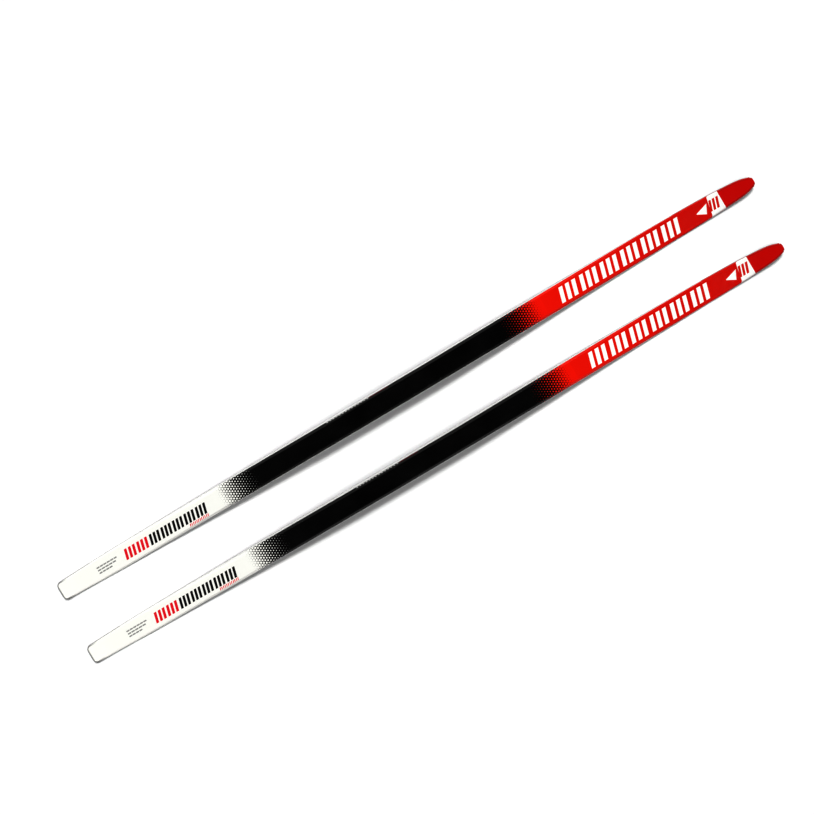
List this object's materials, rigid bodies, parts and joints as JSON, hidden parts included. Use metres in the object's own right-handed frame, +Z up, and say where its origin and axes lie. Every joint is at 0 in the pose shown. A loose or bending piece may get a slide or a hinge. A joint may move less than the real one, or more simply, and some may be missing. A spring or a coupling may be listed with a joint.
{
  "type": "cross country ski pair",
  "caption": "Pair of slim cross country skis for the skating technique, with arched camber, upturned tips and a flat platform for a binding.",
  "frame": {"origin": "on the floor, below the middle of the pair's bounding box", "axes": "+X towards the tips, along the skis; +Y towards the left ski; +Z up"},
  "size_m": [1.413, 0.1676, 0.045],
  "materials": {
    "topsheet": "printed, clear gloss lacquer: white tail, black middle, red front",
    "glass_laminate": "translucent glass fibre in epoxy",
    "sidewall": "white ABS, planed and sanded",
    "core_wood": "planed poplar",
    "block_wood": "planed beech",
    "spacer": "white ABS, moulded",
    "base": "sintered black polyethylene, stone ground"
  },
  "bodies": {
    "left_ski": {"left_topsheet": "topsheet", "left_upper_laminate": "glass_laminate", "left_outer_sidewall": "sidewall", "left_inner_sidewall": "sidewall", "left_outer_stringer": "core_wood", "left_centre_stringer": "core_wood", "left_inner_stringer": "core_wood", "left_binding_blocks": "block_wood", "left_tip_spacer": "spacer", "left_tail_spacer": "spacer", "left_lower_laminate": "glass_laminate", "left_base": "base"},
    "right_ski": {"right_topsheet": "topsheet", "right_upper_laminate": "glass_laminate", "right_outer_sidewall": "sidewall", "right_inner_sidewall": "sidewall", "right_outer_stringer": "core_wood", "right_centre_stringer": "core_wood", "right_inner_stringer": "core_wood", "right_binding_blocks": "block_wood", "right_tip_spacer": "spacer", "right_tail_spacer": "spacer", "right_lower_laminate": "glass_laminate", "right_base": "base"}
  },
  "joints": [
    {"name": "right_ski_glide", "type": "slide", "parent": "left_ski", "child": "right_ski", "axis": [1, -0.0009, 0], "range_m": [-0.4, 0.4]}
  ]
}
